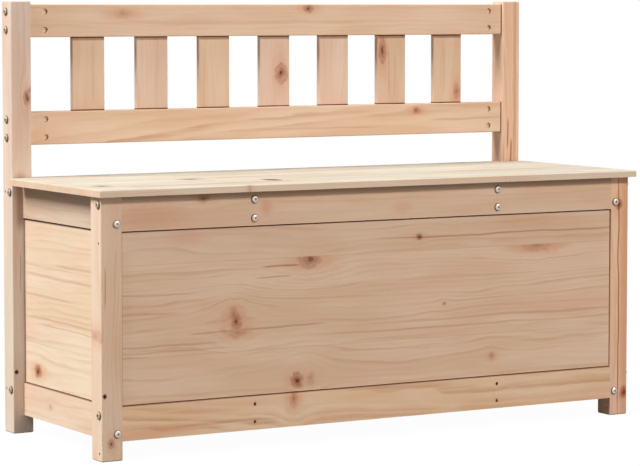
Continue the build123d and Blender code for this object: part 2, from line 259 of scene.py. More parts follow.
# %% [markdown]
# The left end and the seat are the brightest faces in the photograph, so a large soft light stands high on
# the left. It is so far to the side that it misses the front. A smaller light in front draws the narrow,
# rather crisp shadow of the seat's edge on the rail below it, and a wide, weak one low down fills that
# shadow. One more stands low behind the bench, so that its back isn't left dark. It doesn't reach any face
# that the photograph shows.

# %% Lights
LIGHTS = {                   # place in metres, size in metres, watts, colour
    "left_softbox": ((-8.1, 0.6, 8.85), 5.4, 2110, (0.95, 1.0, 1.05)),
    "front_softbox": ((2.2, -4.7, 4.3), 1.0, 244, (1.06, 1.0, 0.97)),
    "front_fill": ((-2.2, -5.6, 0.9), 3.0, 50, (1.04, 1.0, 0.98)),
    "rear_fill": ((-0.2, 6.4, 0.9), 2.4, 110, (1.02, 1.0, 0.98)),
}
AIM = Vector((0, 0, 0.35))
for name, (place, size, power, colour) in LIGHTS.items():
    turn = (AIM - Vector(place)).to_track_quat("-Z", "Y").to_euler()
    bpy.ops.object.light_add(type="AREA", location=place, rotation=turn)
    lamp = bpy.context.object
    lamp.name = name
    lamp.data.size = size
    lamp.data.energy = power
    lamp.data.color = colour
    print(name, power, "W")

# %% [markdown]
# A knot is the stub of a branch that runs through the board, so the grain parts and flows round it. One
# group bends the across-the-grain measure near the knot, which makes the year rings part, and marks the
# branch's own rings, its dark pith, its broken bark line and the reddish wood about it. A knot that a glue
# line cuts off stops at a ceiling. Knots are chained: each passes on what came before it.

# %% Knot group
NO_CEILING = 10000.0         # mm, far above any piece

knot_group, given, result = new_group("pine_knot", {
    "Place": None, "Across": 0.0, "Knot": 0.0, "Blush": 0.0, "Along": 0.0, "Level": 0.0, "Half Length": 6.0,
    "Half Width": 5.0, "Dark": 1.0, "Red": 0.5, "Ceiling": NO_CEILING},
    {"Across": "Float", "Knot": "Float", "Blush": "Float"})
tree = knot_group
xyz = add_node(tree, "SeparateXYZ", Vector=given["Place"]).outputs
ragged = sums(tree, "MULTIPLY_ADD", noise(tree, given["Place"], (12, 12, 12)), 0.9, -0.45)
above = minus(tree, xyz[1], given["Level"])
du = plus(tree, ragged, sums(tree, "DIVIDE", minus(tree, xyz[0], given["Along"]), given["Half Length"]))
dv = minus(tree, sums(tree, "DIVIDE", above, given["Half Width"]), ragged)


def reach(length, width):
    """Distance from the knot as a share of an oval that is so many times as long and as wide."""
    return far(tree, sums(tree, "DIVIDE", du, length), sums(tree, "DIVIDE", dv, width))


below_ceiling = sums(tree, "LESS_THAN", xyz[1], given["Ceiling"])
radius = reach(1.0, 1.0)
body = ramp(tree, radius, 1.3, 0.5, 0.0, 0.42)
own_rings = sums(tree, "MULTIPLY_ADD", sums(tree, "SINE", times(tree, radius, 15.0)), 0.2, 1.0)
pith = ramp(tree, radius, 0.55, 0.1, 0.0, 0.5)
bark = ramp(tree, sums(tree, "ABSOLUTE", minus(tree, radius, 0.92)), 0.22, 0.03, 0.0, 0.16)
bark = times(tree, bark, ramp(tree, noise(tree, given["Place"], (5, 5, 5)), 0.4, 0.62))
core = plus(tree, times(tree, body, own_rings), pith, bark)
darkness = times(tree, given["Dark"], 1.2)
core = times(tree, core, darkness, below_ceiling)
redness = times(tree, given["Red"], below_ceiling)
halo = times(tree, ramp(tree, reach(3.4, 2.0), 1.0, 0.2), redness)
parting = sums(tree, "EXPONENT", times(tree, sums(tree, "POWER", reach(4.0, 2.6), 2.0), -1.0))
bend = times(tree, above, parting, below_ceiling, ramp(tree, given["Dark"], 0.0, 0.4, 0.0, 0.85))
feed(tree, result["Across"], minus(tree, given["Across"], bend))
feed(tree, result["Knot"], sums(tree, "MAXIMUM", given["Knot"], core))
feed(tree, result["Blush"], sums(tree, "MAXIMUM", given["Blush"], halo))
print("knot group:", len(tree.nodes), "nodes")

# %% [markdown]
# Pine also carries single dark streaks, such as resin lines and small checks, that follow the grain for a
# hand's length, sway a little and fade out at both ends.

# %% Streak group
SWAY = 8.0                   # mm from side to side

streak_group, given, result = new_group("pine_streak", {
    "Place": None, "Streak": 0.0, "Level": 0.0, "Start": 0.0, "End": 100.0, "Half Width": 1.0, "Dark": 0.5},
    {"Streak": "Float"})
tree = streak_group
xyz = add_node(tree, "SeparateXYZ", Vector=given["Place"]).outputs
sway = sums(tree, "MULTIPLY_ADD", noise(tree, given["Place"], (110, 60, 60)), SWAY, -SWAY / 2)
off = sums(tree, "ABSOLUTE", plus(tree, minus(tree, xyz[1], given["Level"]), sway))
line = ramp(tree, sums(tree, "DIVIDE", off, given["Half Width"]), 1.0, 0.2)
share = sums(tree, "DIVIDE", minus(tree, xyz[0], given["Start"]),
             minus(tree, given["End"], given["Start"]))
ends = times(tree, ramp(tree, share, 0.0, 0.25), ramp(tree, share, 1.0, 0.75))
mark = times(tree, line, ends, given["Dark"])
feed(tree, result["Streak"], sums(tree, "MAXIMUM", given["Streak"], mark))
print("streak group:", len(tree.nodes), "nodes")

# %% [markdown]
# The wood itself is a solid pattern, not a sheet: year rings stand about the heart of the tree, which lies
# beside and behind each board, so faces, edges and ends all agree. Slow noise makes the heart wander, which
# draws the wavy lines of a flat-sawn face. Over the rings lie fine fibres, short resin dashes and slow
# changes of tint. The ends of a piece drink in more dirt and light, so they are darker.

# %% Pine group
SIDE_WANDER, DEEP_WANDER, QUIVER = 24.0, 12.0, 2.6     # mm that the rings stray across, inwards and finely

pine_group, given, result = new_group("pine_wood", {
    "Place": None, "Across": 0.0, "Heart": (0, -120, 400), "Ring Width": 3.2, "Contrast": 0.4, "Knot": 0.0,
    "Blush": 0.0, "Streak": 0.0, "Seam": 0.0, "Gap": 0.0, "End": 0.0, "Shade": 0.0,
    "Pale": paint(228, 199, 171), "Warm": paint(222, 187, 155), "Late": paint(184, 124, 86),
    "Pink": paint(228, 186, 162), "Branch": paint(124, 56, 28)},
    {"Color": "Color", "Roughness": "Float", "Height": "Float"})
tree = pine_group
depth = add_node(tree, "SeparateXYZ", Vector=given["Place"]).outputs[2]
heart_at = add_node(tree, "SeparateXYZ", Vector=given["Heart"]).outputs
elsewhere = vector_sums(tree, "MULTIPLY", given["Heart"], (7.3, 5.1, 3.7))
grown = vector_sums(tree, "ADD", given["Place"], elsewhere)
drift = noise(tree, grown, (300, 60, 60), 2.0, "Color")
wander = add_node(tree, "SeparateColor", Color=drift).outputs
side_a = plus(tree, minus(tree, given["Across"], heart_at[1]),
              sums(tree, "MULTIPLY_ADD", wander[0], SIDE_WANDER, -SIDE_WANDER / 2))
side_b = plus(tree, minus(tree, depth, heart_at[2]),
              sums(tree, "MULTIPLY_ADD", wander[1], DEEP_WANDER, -DEEP_WANDER / 2))
quiver = sums(tree, "MULTIPLY_ADD", noise(tree, grown, (70, 14, 14), 3.0), QUIVER, -QUIVER / 2)
radius = plus(tree, far(tree, side_a, side_b), quiver)
turns = sums(tree, "DIVIDE", radius, given["Ring Width"])
season = sums(tree, "FRACT", turns)
luck = chance(tree, sums(tree, "FLOOR", turns))
late = minus(tree, ramp(tree, season, 0.1, 0.82), ramp(tree, season, 0.82, 1.0))
patch = ramp(tree, noise(tree, grown, (190, 11, 11)), 0.34, 0.62, 0.25, 1.0)
late = times(tree, late, patch, sums(tree, "MULTIPLY_ADD", sums(tree, "POWER", luck, 1.6), 0.85, 0.15))

fibre = noise(tree, grown, (60, 1.2, 1.2), 3.0)
dash = ramp(tree, noise(tree, grown, (18, 1.0, 1.0), 1.0), 0.66, 0.76)
tint = ramp(tree, noise(tree, grown, (240, 44, 44), 2.0), 0.36, 0.66)
farther = vector_sums(tree, "ADD", grown, (911, 0, 0))
pink = ramp(tree, noise(tree, farther, (150, 55, 55), 1.0), 0.45, 0.75)
wood = blend(tree, tint, given["Pale"], given["Warm"])
wood = blend(tree, times(tree, pink, 0.4), wood, given["Pink"])
wood = blend(tree, times(tree, late, given["Contrast"]), wood, given["Late"])
wood = blend(tree, times(tree, given["Blush"], 0.58), wood, paint(212, 144, 106))
brightness = plus(tree, sums(tree, "MULTIPLY_ADD", fibre, 0.14, 0.93), given["Shade"])
grey = add_node(tree, "CombineColor", Red=brightness, Green=brightness, Blue=brightness)
wood = blend(tree, 1.0, wood, grey.outputs[0], "MULTIPLY")
# The last colour below is painted shade, laid in grooves, along joints and under the seat's edge.
for amount, colour in ((times(tree, dash, 0.14), paint(158, 112, 80)),
                       (times(tree, given["End"], 0.4), paint(204, 152, 110)),
                       (given["Streak"], paint(156, 84, 48)), (given["Seam"], paint(150, 108, 80)),
                       (given["Knot"], given["Branch"]), (given["Gap"], paint(92, 28, 0))):
    wood = blend(tree, amount, wood, colour)
feed(tree, result["Color"], wood)
feed(tree, result["Roughness"], sums(tree, "MULTIPLY_ADD", fibre, 0.16, 0.56))
ridge = plus(tree, times(tree, late, 0.5), times(tree, fibre, 0.6))
feed(tree, result["Height"], minus(tree, ridge, times(tree, given["Knot"], 0.4)))
print("pine group:", len(tree.nodes), "nodes")

# %% [markdown]
# Wide panels are glued up from narrower boards. Between two glue lines every board is a different piece of
# wood, so the group moves the pattern along for each board, starts its rings afresh and draws the thin glue
# line.

# %% Glued boards group
NEXT_BOARD = 733.0           # mm along the tree from one board to the next
GLUE_DARKNESS = 0.3

boards_group, given, result = new_group("glued_boards", {
    "Place": None, "Base": 0.0, "Low Seam": 0.0, "High Seam": 0.0},
    {"Place": "Vector", "Drop": "Float", "Seam": "Float", "Shade": "Float"})
tree = boards_group
across = add_node(tree, "SeparateXYZ", Vector=given["Place"]).outputs[1]
board, drop, seam, edge = 0.0, 0.0, 0.0, given["Base"]
for label in ("Low Seam", "High Seam"):
    over = sums(tree, "GREATER_THAN", across, given[label])
    board = plus(tree, over, board)
    drop = plus(tree, times(tree, over, minus(tree, given[label], edge)), drop)
    gap = sums(tree, "ABSOLUTE", minus(tree, across, given[label]))
    seam = sums(tree, "MAXIMUM", ramp(tree, gap, 0.7, 0.1), seam)
    edge = given[label]
shift = add_node(tree, "CombineXYZ", X=times(tree, board, NEXT_BOARD))
feed(tree, result["Place"], vector_sums(tree, "ADD", given["Place"], shift.outputs[0]))
feed(tree, result["Drop"], drop)
feed(tree, result["Seam"], times(tree, seam, GLUE_DARKNESS))
feed(tree, result["Shade"], sums(tree, "MULTIPLY_ADD", board, -0.014, 0.016))
print("glued boards group:", len(tree.nodes), "nodes")

# %% [markdown]
# The seat board is made of narrow staves, each joined end to end from shorter lengths. Counting the staves
# across and the lengths along gives every stick its own number, and from that number its place in the tree
# and its shade.

# %% Staves group
STICK_REACH = 5200.0         # mm along the tree from which the sticks are cut
JOINT_STEPS, JOINT_STEP = 5.0, 0.21    # joints lie at so many places, a share of a length apart
NUMBERS_PER_LENGTH = 17.0    # more than there are staves

staves_group, given, result = new_group("glued_staves", {
    "Place": None, "Width": 46.0, "Length": 900.0, "First Joint": 0.0},
    {"Place": "Vector", "Drop": "Float", "Seam": "Float", "Shade": "Float"})
tree = staves_group
xyz = add_node(tree, "SeparateXYZ", Vector=given["Place"]).outputs
rows = sums(tree, "DIVIDE", xyz[1], given["Width"])
row = sums(tree, "FLOOR", rows)
slide = sums(tree, "FLOOR", times(tree, chance(tree, row), JOINT_STEPS))
lengths = sums(tree, "DIVIDE", minus(tree, xyz[0], given["First Joint"]), given["Length"])
lengths = plus(tree, lengths, times(tree, slide, JOINT_STEP))
stick = plus(tree, times(tree, sums(tree, "FLOOR", lengths), NUMBERS_PER_LENGTH), row)
luck = chance(tree, stick)


def near_edge(count, size, width):
    """How near a place is to the edge of its cell."""
    part = sums(tree, "FRACT", count)
    nearest = sums(tree, "MINIMUM", part, minus(tree, 1.0, part))
    return ramp(tree, times(tree, nearest, size), width, 0.1)


seam = sums(tree, "MAXIMUM", near_edge(rows, given["Width"], 0.6), near_edge(lengths, given["Length"], 0.9))
shift = add_node(tree, "CombineXYZ", X=times(tree, luck, STICK_REACH))
feed(tree, result["Place"], vector_sums(tree, "ADD", given["Place"], shift.outputs[0]))
feed(tree, result["Drop"], times(tree, row, given["Width"]))
feed(tree, result["Seam"], times(tree, seam, GLUE_DARKNESS))
feed(tree, result["Shade"], sums(tree, "MULTIPLY_ADD", luck, 0.08, -0.04))
print("staves group:", len(tree.nodes), "nodes")

# %% [markdown]
# Every wooden piece gets a finish of its own, because every piece was cut from another place in the tree.
# Its pattern reads object coordinates in millimetres, put in the order along the grain, across the face and
# into the wood. The heart of the tree is given as so far below and so far behind the middle of the piece,
# or below the lower edge of each glued board.

# %% A pine finish
GRAIN = {"along_x": "XZY", "along_y": "YZX", "along_z": "ZXY", "flat": "XYZ"}
ALONG, ACROSS = 0, 1         # measures of a shade line's place
TO_MM = 1000.0


def knot_at(along, level, half_length, half_width, dark=0.8, red=0.6, ceiling=NO_CEILING):
    """A knot's place and size in mm. With no darkness it is only a reddish patch."""
    return {"Along": along, "Level": level, "Half_Length": half_length, "Half_Width": half_width,
            "Dark": dark, "Red": red, "Ceiling": ceiling}


def palette(pale, warm, late, **others):
    """The colours of a piece of pine: early wood in two tints, late wood, and others where they differ."""
    return {name: paint(*tint) for name, tint in {"Pale": pale, "Warm": warm, "Late": late, **others}.items()}


def streak_at(level, start, end, half_width, dark):
    """A streak's height across the grain, its start and end along it, and its half width, in mm."""
    return {"Level": level, "Start": start, "End": end, "Half_Width": half_width, "Dark": dark}


def face_mask(tree, normal, letter, way=None):
    """1 on faces that look along an axis, or only one way along it, and 0 on the others."""
    part = add_node(tree, "SeparateXYZ", Vector=normal).outputs[letter]
    towards = times(tree, part, way) if way else sums(tree, "ABSOLUTE", part)
    return ramp(tree, towards, 0.5, 0.9)


def pine_finish(node, grain, heart=(120, 400), slope=0.0, knots=(), streaks=(), shade_lines=(), glue=None,
                contrast=0.35, ring=3.2, colours=None, facing=None, shade=0.0):
    """Dress one node in pine. Places and sizes are in mm. A shade line, painted shade along a joint or
    under an edge, is (measure, place, half width, darkness).
    Facing is a letter, 1 or -1 and the colours of the faces that look that way along that axis. These
    colours are painted light, standing in for the other light that falls on those faces."""
    finish, tree = new_finish("pine_" + node)
    order = GRAIN[grain]
    coordinates = add_node(tree, "TexCoord").outputs
    parts = add_node(tree, "SeparateXYZ", Vector=coordinates["Object"]).outputs
    turned = add_node(tree, "CombineXYZ", X=parts[order[0]], Y=parts[order[1]], Z=parts[order[2]])
    place = vector_sums(tree, "MULTIPLY", turned.outputs[0], (TO_MM,) * 3)
    measures = add_node(tree, "SeparateXYZ", Vector=place).outputs
    across, knot, blush, streak, seam, gap = measures[1], 0.0, 0.0, 0.0, 0.0, 0.0
    for sizes in knots:
        made = place_group(tree, knot_group, Place=place, Across=across, Knot=knot, Blush=blush, **sizes)
        across, knot, blush = made["Across"], made["Knot"], made["Blush"]
    for sizes in streaks:
        streak = place_group(tree, streak_group, Place=place, Streak=streak, **sizes)["Streak"]
    # Each shade line is painted shade, darkest on its place and fading out within its half width.
    for measure, level, half_width, dark in shade_lines:
        off = sums(tree, "ABSOLUTE", minus(tree, measures[measure], level))
        gap = sums(tree, "MAXIMUM", ramp(tree, off, half_width, half_width * 0.3, 0.0, dark), gap)

    low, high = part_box(node)
    middle = [(low["XYZ".index(letter)] + high["XYZ".index(letter)]) / 2 * TO_MM for letter in order]
    below, behind = heart
    if glue:
        group, sizes = glue
        made = place_group(tree, group, Place=place, **sizes)
        place, seam, shade = made["Place"], made["Seam"], made["Shade"]
        across = minus(tree, across, made["Drop"])
        middle[1] = sizes.get("Base", 0.0)
    if slope:
        across = sums(tree, "MULTIPLY_ADD", measures[0], slope, across)
    if facing:
        letter, way, others = facing
        mask = face_mask(tree, coordinates["Normal"], letter, way)
        colours = {name: blend(tree, mask, colours[name], others[name]) for name in colours}
    end = face_mask(tree, coordinates["Normal"], order[0])
    seed = sum(map(ord, node))    # another place in the tree for each name
    wood = place_group(tree, pine_group, Place=place, Across=across, Ring_Width=ring, Contrast=contrast,
                       Heart=(seed, middle[1] - below, middle[2] + behind), Knot=knot, Blush=blush,
                       Streak=streak, Seam=seam, Gap=gap, End=end, Shade=shade, **(colours or {}))
    bump = add_node(tree, "Bump", Strength=0.25, Distance=0.0004, Height=wood["Height"])
    surface = add_node(tree, "BsdfPrincipled", Base_Color=wood["Color"],
                       Roughness=wood["Roughness"], Normal=bump.outputs[0])
    surface.inputs["Specular IOR Level"].default_value = 0.2
    add_node(tree, "OutputMaterial", Surface=surface.outputs[0])
    dress(nodes[node], finish)


def edge_of(node, end, letter):
    """The lower (0) or upper (1) edge of a node along an axis, in mm."""
    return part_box(node)[end]["XYZ".index(letter)] * TO_MM


print("pine finish ready")

# %% [markdown]
# The front panel is the largest face in the picture. It is three boards, with two glue lines, and it has
# most of the knots: two are cut off by the upper glue line. A picture of wood could be laid on it, but that
# would end at the edges and repeat on the other pieces, so each mark is placed in the solid pattern by its
# distance from the middle and its height. The dark lines round the panels are the shadow in the grooves of
# the rails and legs, whose edges come from the frame.

# %% Panels
PANEL_FOOT, PANEL_TOP = edge_of("front_lower_rail", 1, "Z"), edge_of("front_upper_rail", 0, "Z")
LOW_JOINT, HIGH_JOINT = PANEL_FOOT + 78, PANEL_FOOT + 233
LEG_INSIDE = edge_of("front_leg_right", 0, "X")
POST_FRONT = edge_of("rear_post_left", 0, "Y")
three_boards = {"Base": PANEL_FOOT, "Low_Seam": LOW_JOINT, "High_Seam": HIGH_JOINT}
pine_finish("front_panel", "along_x", (95, 420), contrast=0.46, ring=3.4, glue=(boards_group, three_boards),
            knots=[knot_at(-138, 319, 22, 17, 0.7, 0.7, HIGH_JOINT), knot_at(84.5, 347, 6.5, 5.5, 1.1, 0.5),
                   knot_at(-283, 219, 10, 13, 0.85, 0.9), knot_at(-287, 231, 8, 12, 0.45, 0.9),
                   knot_at(-279, 200, 15, 9, 0.34, 0.7), knot_at(-163, 110, 12, 13, 1.0, 0.7),
                   knot_at(-136, 112, 9, 13, 0.35, 0.3), knot_at(335, 321, 30, 11, 0.34, 1.0, HIGH_JOINT),
                   knot_at(137.5, 226, 4.5, 4, 0.6, 0.3), knot_at(238, 127, 7, 8, 0.42, 0.5),
                   knot_at(390, 212, 60, 16, 0.0, 0.42), knot_at(-377, 366, 16, 12, 0.0, 0.4),
                   knot_at(330, 366, 60, 9, 0.0, 0.4)],
            streaks=[streak_at(347, -60, 620, 2.2, 0.5), streak_at(309, -240, -150, 2.6, 0.6),
                     streak_at(291, -252, -168, 1.6, 0.5), streak_at(200, -60, 600, 3.6, 0.24),
                     streak_at(186, -160, 420, 2.6, 0.26), streak_at(272, -560, -330, 2.2, 0.28),
                     streak_at(186, -560, -290, 2.8, 0.3), streak_at(176, -560, -250, 2.0, 0.26),
                     streak_at(186, 120, 620, 2.6, 0.22), streak_at(205, -290, -90, 2.6, 0.4),
                     streak_at(203, -380, -280, 2.2, 0.34), streak_at(240, -560, -380, 3.0, 0.26)],
            shade_lines=[(ACROSS, PANEL_FOOT, 2.3, 1.0), (ACROSS, PANEL_TOP, 3.3, 1.0),
                  (ALONG, LEG_INSIDE, 2.6, 1.0), (ALONG, -LEG_INSIDE, 4.0, 0.36)])
pine_finish("rear_panel", "along_x", (95, -420), contrast=0.34, ring=3.6,
            glue=(boards_group, {"Base": PANEL_FOOT, "Low_Seam": 190.0, "High_Seam": 285.0}),
            knots=[knot_at(-260, 240, 10, 10), knot_at(180, 140, 9, 9), knot_at(330, 330, 6, 6)])
CREAM = palette((230, 204, 174), (225, 194, 159), (186, 138, 94))
pine_finish("side_panel_left", "along_y", (100, 380), slope=0.03, contrast=0.4, ring=4.4, colours=CREAM,
            glue=(boards_group, {"Base": PANEL_FOOT, "Low_Seam": 165.0, "High_Seam": 300.0}),
            knots=[knot_at(109, 116, 15, 12, 1.1, 0.9)],
            streaks=[streak_at(210, -150, 170, 3.0, 0.3), streak_at(199, -150, 120, 2.2, 0.28),
                     streak_at(308, -160, 60, 3.6, 0.26), streak_at(284, -170, 200, 4.0, 0.28),
                     streak_at(250, -60, 200, 3.0, 0.26)],
            shade_lines=[(ACROSS, PANEL_FOOT, 2.0, 0.8), (ACROSS, PANEL_TOP, 5.4, 1.0),
                  (ALONG, POST_FRONT, 3.4, 1.0)])
pine_finish("side_panel_right", "along_y", (100, -380), contrast=0.36, ring=3.3,
            glue=(boards_group, {"Base": PANEL_FOOT, "Low_Seam": 150.0, "High_Seam": 260.0}),
            knots=[knot_at(-60, 210, 9, 8)])
pine_finish("floor_panel", "flat", (60, -300), contrast=0.3, ring=3.6,
            glue=(staves_group, {"Width": 86.0, "Length": 2400.0, "First_Joint": 900.0}),
            knots=[knot_at(-300, 60, 8, 7)])
print("panels dressed, they show from", round(PANEL_FOOT, 1), "to", round(PANEL_TOP, 1), "mm")

# %% [markdown]
# The seat board's upper face gets more light than any other, so it is painted greyer and darker, as painted
# shade against that light, and its sawn edges are paler than the rest. Two finishes would have to be given
# out face by face, so one finish has two palettes and takes them by the way that a face looks. The board has
# fine straight grain, three knots on top, a faint one on its front edge and a few broad, faint streaks. One
# stave joint also shows on that edge, left of the middle.

# %% Seat
# The upper face is painted greyer and darker, as painted shade against the strong light on top.
SEAT_TOP_SHADED = palette((203, 196, 179), (193, 181, 160), (156, 130, 104), Pink=(207, 187, 166))
SEAT_EDGE = palette((228, 207, 183), (223, 198, 170), (196, 158, 122), Pink=(228, 195, 170))
pine_finish("lid_panel", "flat", (70, -300), contrast=0.5, ring=3.0, colours=SEAT_EDGE,
            facing=("Z", 1, SEAT_TOP_SHADED), glue=(staves_group, {"First_Joint": -267.0}),
            knots=[knot_at(-164, -103, 16, 23, 1.9, 0.0), knot_at(-281, -18, 26, 20, 1.0, 0.0),
                   knot_at(-495, -108, 18, 18, 1.0, 0.0), knot_at(-265, -204, 6, 7, 0.26, 0.3)],
            streaks=[streak_at(-140, -560, -60, 14, 0.3), streak_at(0, -260, 40, 16, 0.35),
                     streak_at(84, -60, 200, 16, 0.25), streak_at(-60, 60, 500, 14, 0.22),
                     streak_at(120, -560, -200, 14, 0.25)])
pine_finish("hinge_strip", "along_x", contrast=0.3, colours=SEAT_EDGE, facing=("Z", 1, SEAT_TOP_SHADED))
print("seat dressed")

# %% [markdown]
# Rails and bearers run along one grain each. Some have a reddish blush with no knot in it. Where two pieces
# meet, their edges are painted darker, as painted shade where little light gets in. The tops of the upper
# rails carry the painted shadow of the seat's edge, and the upper side rails are painted darker all over for
# it too. The narrow holes of the sunk screws are real holes in the frame. Their dark insides are painted
# shade, a knot no wider than the hole, because a picture of this size would lose them otherwise.

# %% Rails and bearers
RAIL_FOOT, FRAME_TOP = edge_of("front_lower_rail", 0, "Z"), edge_of("front_upper_rail", 1, "Z")
RAIL_HEIGHT = PANEL_FOOT - RAIL_FOOT
BEARER_MIDDLE = (edge_of("floor_bearer_right", 0, "X") + edge_of("floor_bearer_right", 1, "X")) / 2
# Painted shade inside the holes of the sunk screws, as dark knots no wider than the holes.
SUNK_HOLE_SHADES = [knot_at(side * BEARER_MIDDLE, RAIL_FOOT + share * RAIL_HEIGHT, 2.6, 2.6, 1.8, 0.2)
              for side in (-1, 1) for share in (0.25, 0.75)]
YELLOWED = palette((229, 198, 165), (223, 185, 148), (178, 118, 74))
pine_finish("front_upper_rail", "along_x", (150, 420), contrast=0.24,
            knots=[knot_at(-346, 430, 12, 7, 0.6, 0.6), knot_at(-450, 408, 34, 18, 0.0, 0.65),
                   knot_at(-225, 411, 5, 10, 0.0, 0.8), knot_at(48, 401, 10, 7, 0.0, 0.5)],
            # This shade line along the rail's top is the painted shadow of the seat's edge.
            shade_lines=[(ACROSS, FRAME_TOP, 11, 0.36)])
pine_finish("front_lower_rail", "along_x", (-110, 400), slope=0.06, contrast=0.68, ring=4.6, shade=0.09,
            knots=SUNK_HOLE_SHADES + [knot_at(-172, 80, 8, 18, 0.45, 0.9), knot_at(-420, 44, 40, 8, 0.0, 0.5)],
            streaks=[streak_at(50, -430, -180, 3.0, 0.25)], shade_lines=[(ACROSS, PANEL_FOOT, 1.2, 0.6)],
            colours=YELLOWED)
pine_finish("rear_upper_rail", "along_x", (140, -400), knots=[knot_at(120, 400, 7, 7)])
pine_finish("rear_lower_rail", "along_x", (-120, -400), knots=[knot_at(-300, 60, 8, 7)])
for side, sign in (("left", -1), ("right", 1)):
    # The upper side rails' lower shade and wide line along the top are the painted shadow of the seat.
    pine_finish(f"side_upper_rail_{side}", "along_y", (130, -400 * sign), contrast=0.3, shade=-0.15,
                shade_lines=[(ACROSS, FRAME_TOP, 20, 0.14), (ALONG, POST_FRONT, 2.0, 0.6)])
    pine_finish(f"side_lower_rail_{side}", "along_y", (-130, -400 * sign), contrast=0.34, shade=0.03,
                knots=[knot_at(52, 60, 7, 6, 0.3, 0.4)],
                shade_lines=[(ACROSS, PANEL_FOOT, 1.2, 0.7), (ALONG, POST_FRONT, 2.0, 0.6)])
    pine_finish(f"seat_bearer_{side}", "along_y", (140, 400 * sign))
    pine_finish(f"floor_bearer_{side}", "along_y", (-140, 400 * sign))
print("rails and bearers dressed")

# %% [markdown]
# Legs and posts stand with the grain upright. The right front leg is two-coloured: a dark resin line parts
# pale sapwood from orange heartwood, and its knots are redder than the rest. The left rear post is greyer;
# its front is painted paler and greyer still, as painted light, and carries the painted shadow of the seat
# just below it. The peg hole in the front of each left leg is darkened with painted shade in the same way as
# the sunk holes.

# %% Legs and posts
PEG_HEIGHT, PEG_INSET = 109, 6
# Painted shade for the peg hole in each left leg: a dark knot about as wide as the hole.
PEG_HOLE_SHADE = knot_at(PEG_HEIGHT, edge_of("front_leg_left", 0, "X") + PEG_INSET, 4.0, 4.0, 1.6, 0.2)
ORANGE = palette((240, 200, 168), (238, 190, 150), (188, 118, 70), Branch=(146, 58, 24))
ROSY = palette((235, 199, 169), (231, 187, 154), (184, 122, 82))
GREYED = palette((226, 206, 186), (221, 196, 172), (168, 132, 102))
ASHEN_PAINTED_LIGHT = palette((227, 212, 197), (222, 203, 184), (168, 138, 112))
pine_finish("front_leg_left", "along_z", (-150, 400), contrast=0.42,
            knots=[knot_at(30, -520, 9, 6, 0.8), knot_at(209, -541, 10, 6, 0.5), PEG_HOLE_SHADE],
            streaks=[streak_at(-529, 250, 330, 1.4, 0.6)])
pine_finish("front_leg_right", "along_z", (110, 380), slope=0.02, contrast=0.4, colours=ORANGE,
            knots=[knot_at(389, 516, 10, 8, 1.3, 0.6), knot_at(41, 530, 12, 9, 1.25, 1.0),
                   knot_at(200, 531, 160, 8, 0.0, 0.9)],
            streaks=[streak_at(516, -60, 520, 2.2, 0.85), streak_at(529, -160, 620, 17, 0.04)])
# Its front faces take paler, greyer colours as painted light, and the seat's painted shadow lies on them.
pine_finish("rear_post_left", "along_z", (140, -400), contrast=0.3, colours=GREYED, facing=("Y", -1, ASHEN_PAINTED_LIGHT),
            knots=[knot_at(591, -507, 15, 7, 0.8, 0.8), knot_at(604, -502, 7, 5, 0.6, 0.4), PEG_HOLE_SHADE,
                   knot_at(650, -515, 90, 22, 0.0, 0.4)],
            streaks=[streak_at(-523, 240, 330, 1.4, 0.5), streak_at(-521, 640, 720, 1.2, 0.3),
                     # The first streak on the next line is painted shadow: the seat's shadow on the post's
                     # front, below it.
                     streak_at(-522, 350, 470, 13, 0.6), streak_at(-518, 440, 860, 30, 0.06)])
pine_finish("rear_post_right", "along_z", (-130, -400), contrast=0.4, colours=ROSY,
            streaks=[streak_at(511, 470, 540, 2.4, 0.8), streak_at(519, 430, 500, 2.6, 0.8),
                     streak_at(526, 380, 900, 6, 0.34), streak_at(503, 300, 520, 3, 0.36)])
print("legs and posts dressed")

# %% [markdown]
# The backrest's slats stand in mortises of its two rails, and a line of painted shade shows where each goes
# in; the rails' right ends beside the post get painted shade too. One finish for all seven would be less
# work, but the eye finds a repeated grain at once, so every slat has its own shade and place in the tree,
# and three are pinker.

# %% Backrest
pine_finish("backrest_top_rail", "along_x", (150, -400), contrast=0.26,
            knots=[knot_at(66, 747, 11, 7, 0.9, 0.9), knot_at(-317, 738, 18, 9, 0.3, 0.7)],
            # Both rails get a line of painted shade at their right ends, beside the post.
            streaks=[streak_at(722, -420, 300, 5, 0.14)], shade_lines=[(ALONG, LEG_INSIDE, 3.6, 0.95)])
pine_finish("backrest_bottom_rail", "along_x", (100, -380), slope=-0.1, contrast=0.62, ring=6.5,
            knots=[knot_at(304, 553, 9, 6.5, 0.75, 0.9)],
            streaks=[streak_at(536, 320, 520, 3, 0.25), streak_at(525, -60, 260, 3, 0.2)],
            shade_lines=[(ALONG, LEG_INSIDE, 3.6, 0.95)])
SLAT_KNOTS = {4: [knot_at(627, 14, 18, 14, 0.9, 0.7)], 6: [knot_at(667, 234, 22, 9, 0.85, 0.9)],
              7: [knot_at(587, 402, 14, 9, 0.5, 0.8)]}
SLAT_STREAKS = {6: [streak_at(248, 575, 690, 2.2, 0.28), streak_at(262, 570, 668, 2.0, 0.24)],
                7: [streak_at(372, 566, 690, 3.0, 0.16)], 1: [streak_at(-372, 570, 700, 4.0, 0.14)]}
SLAT_SHADES = (-0.02, 0.015, -0.025, 0.015, 0.03, -0.07, -0.04)
PINKISH = palette((226, 200, 179), (221, 189, 166), (176, 126, 96))
PINKISH_SLATS = (2, 4, 5)
slat_ends = [edge_of("backrest_bottom_rail", 1, "Z"), edge_of("backrest_top_rail", 0, "Z")]
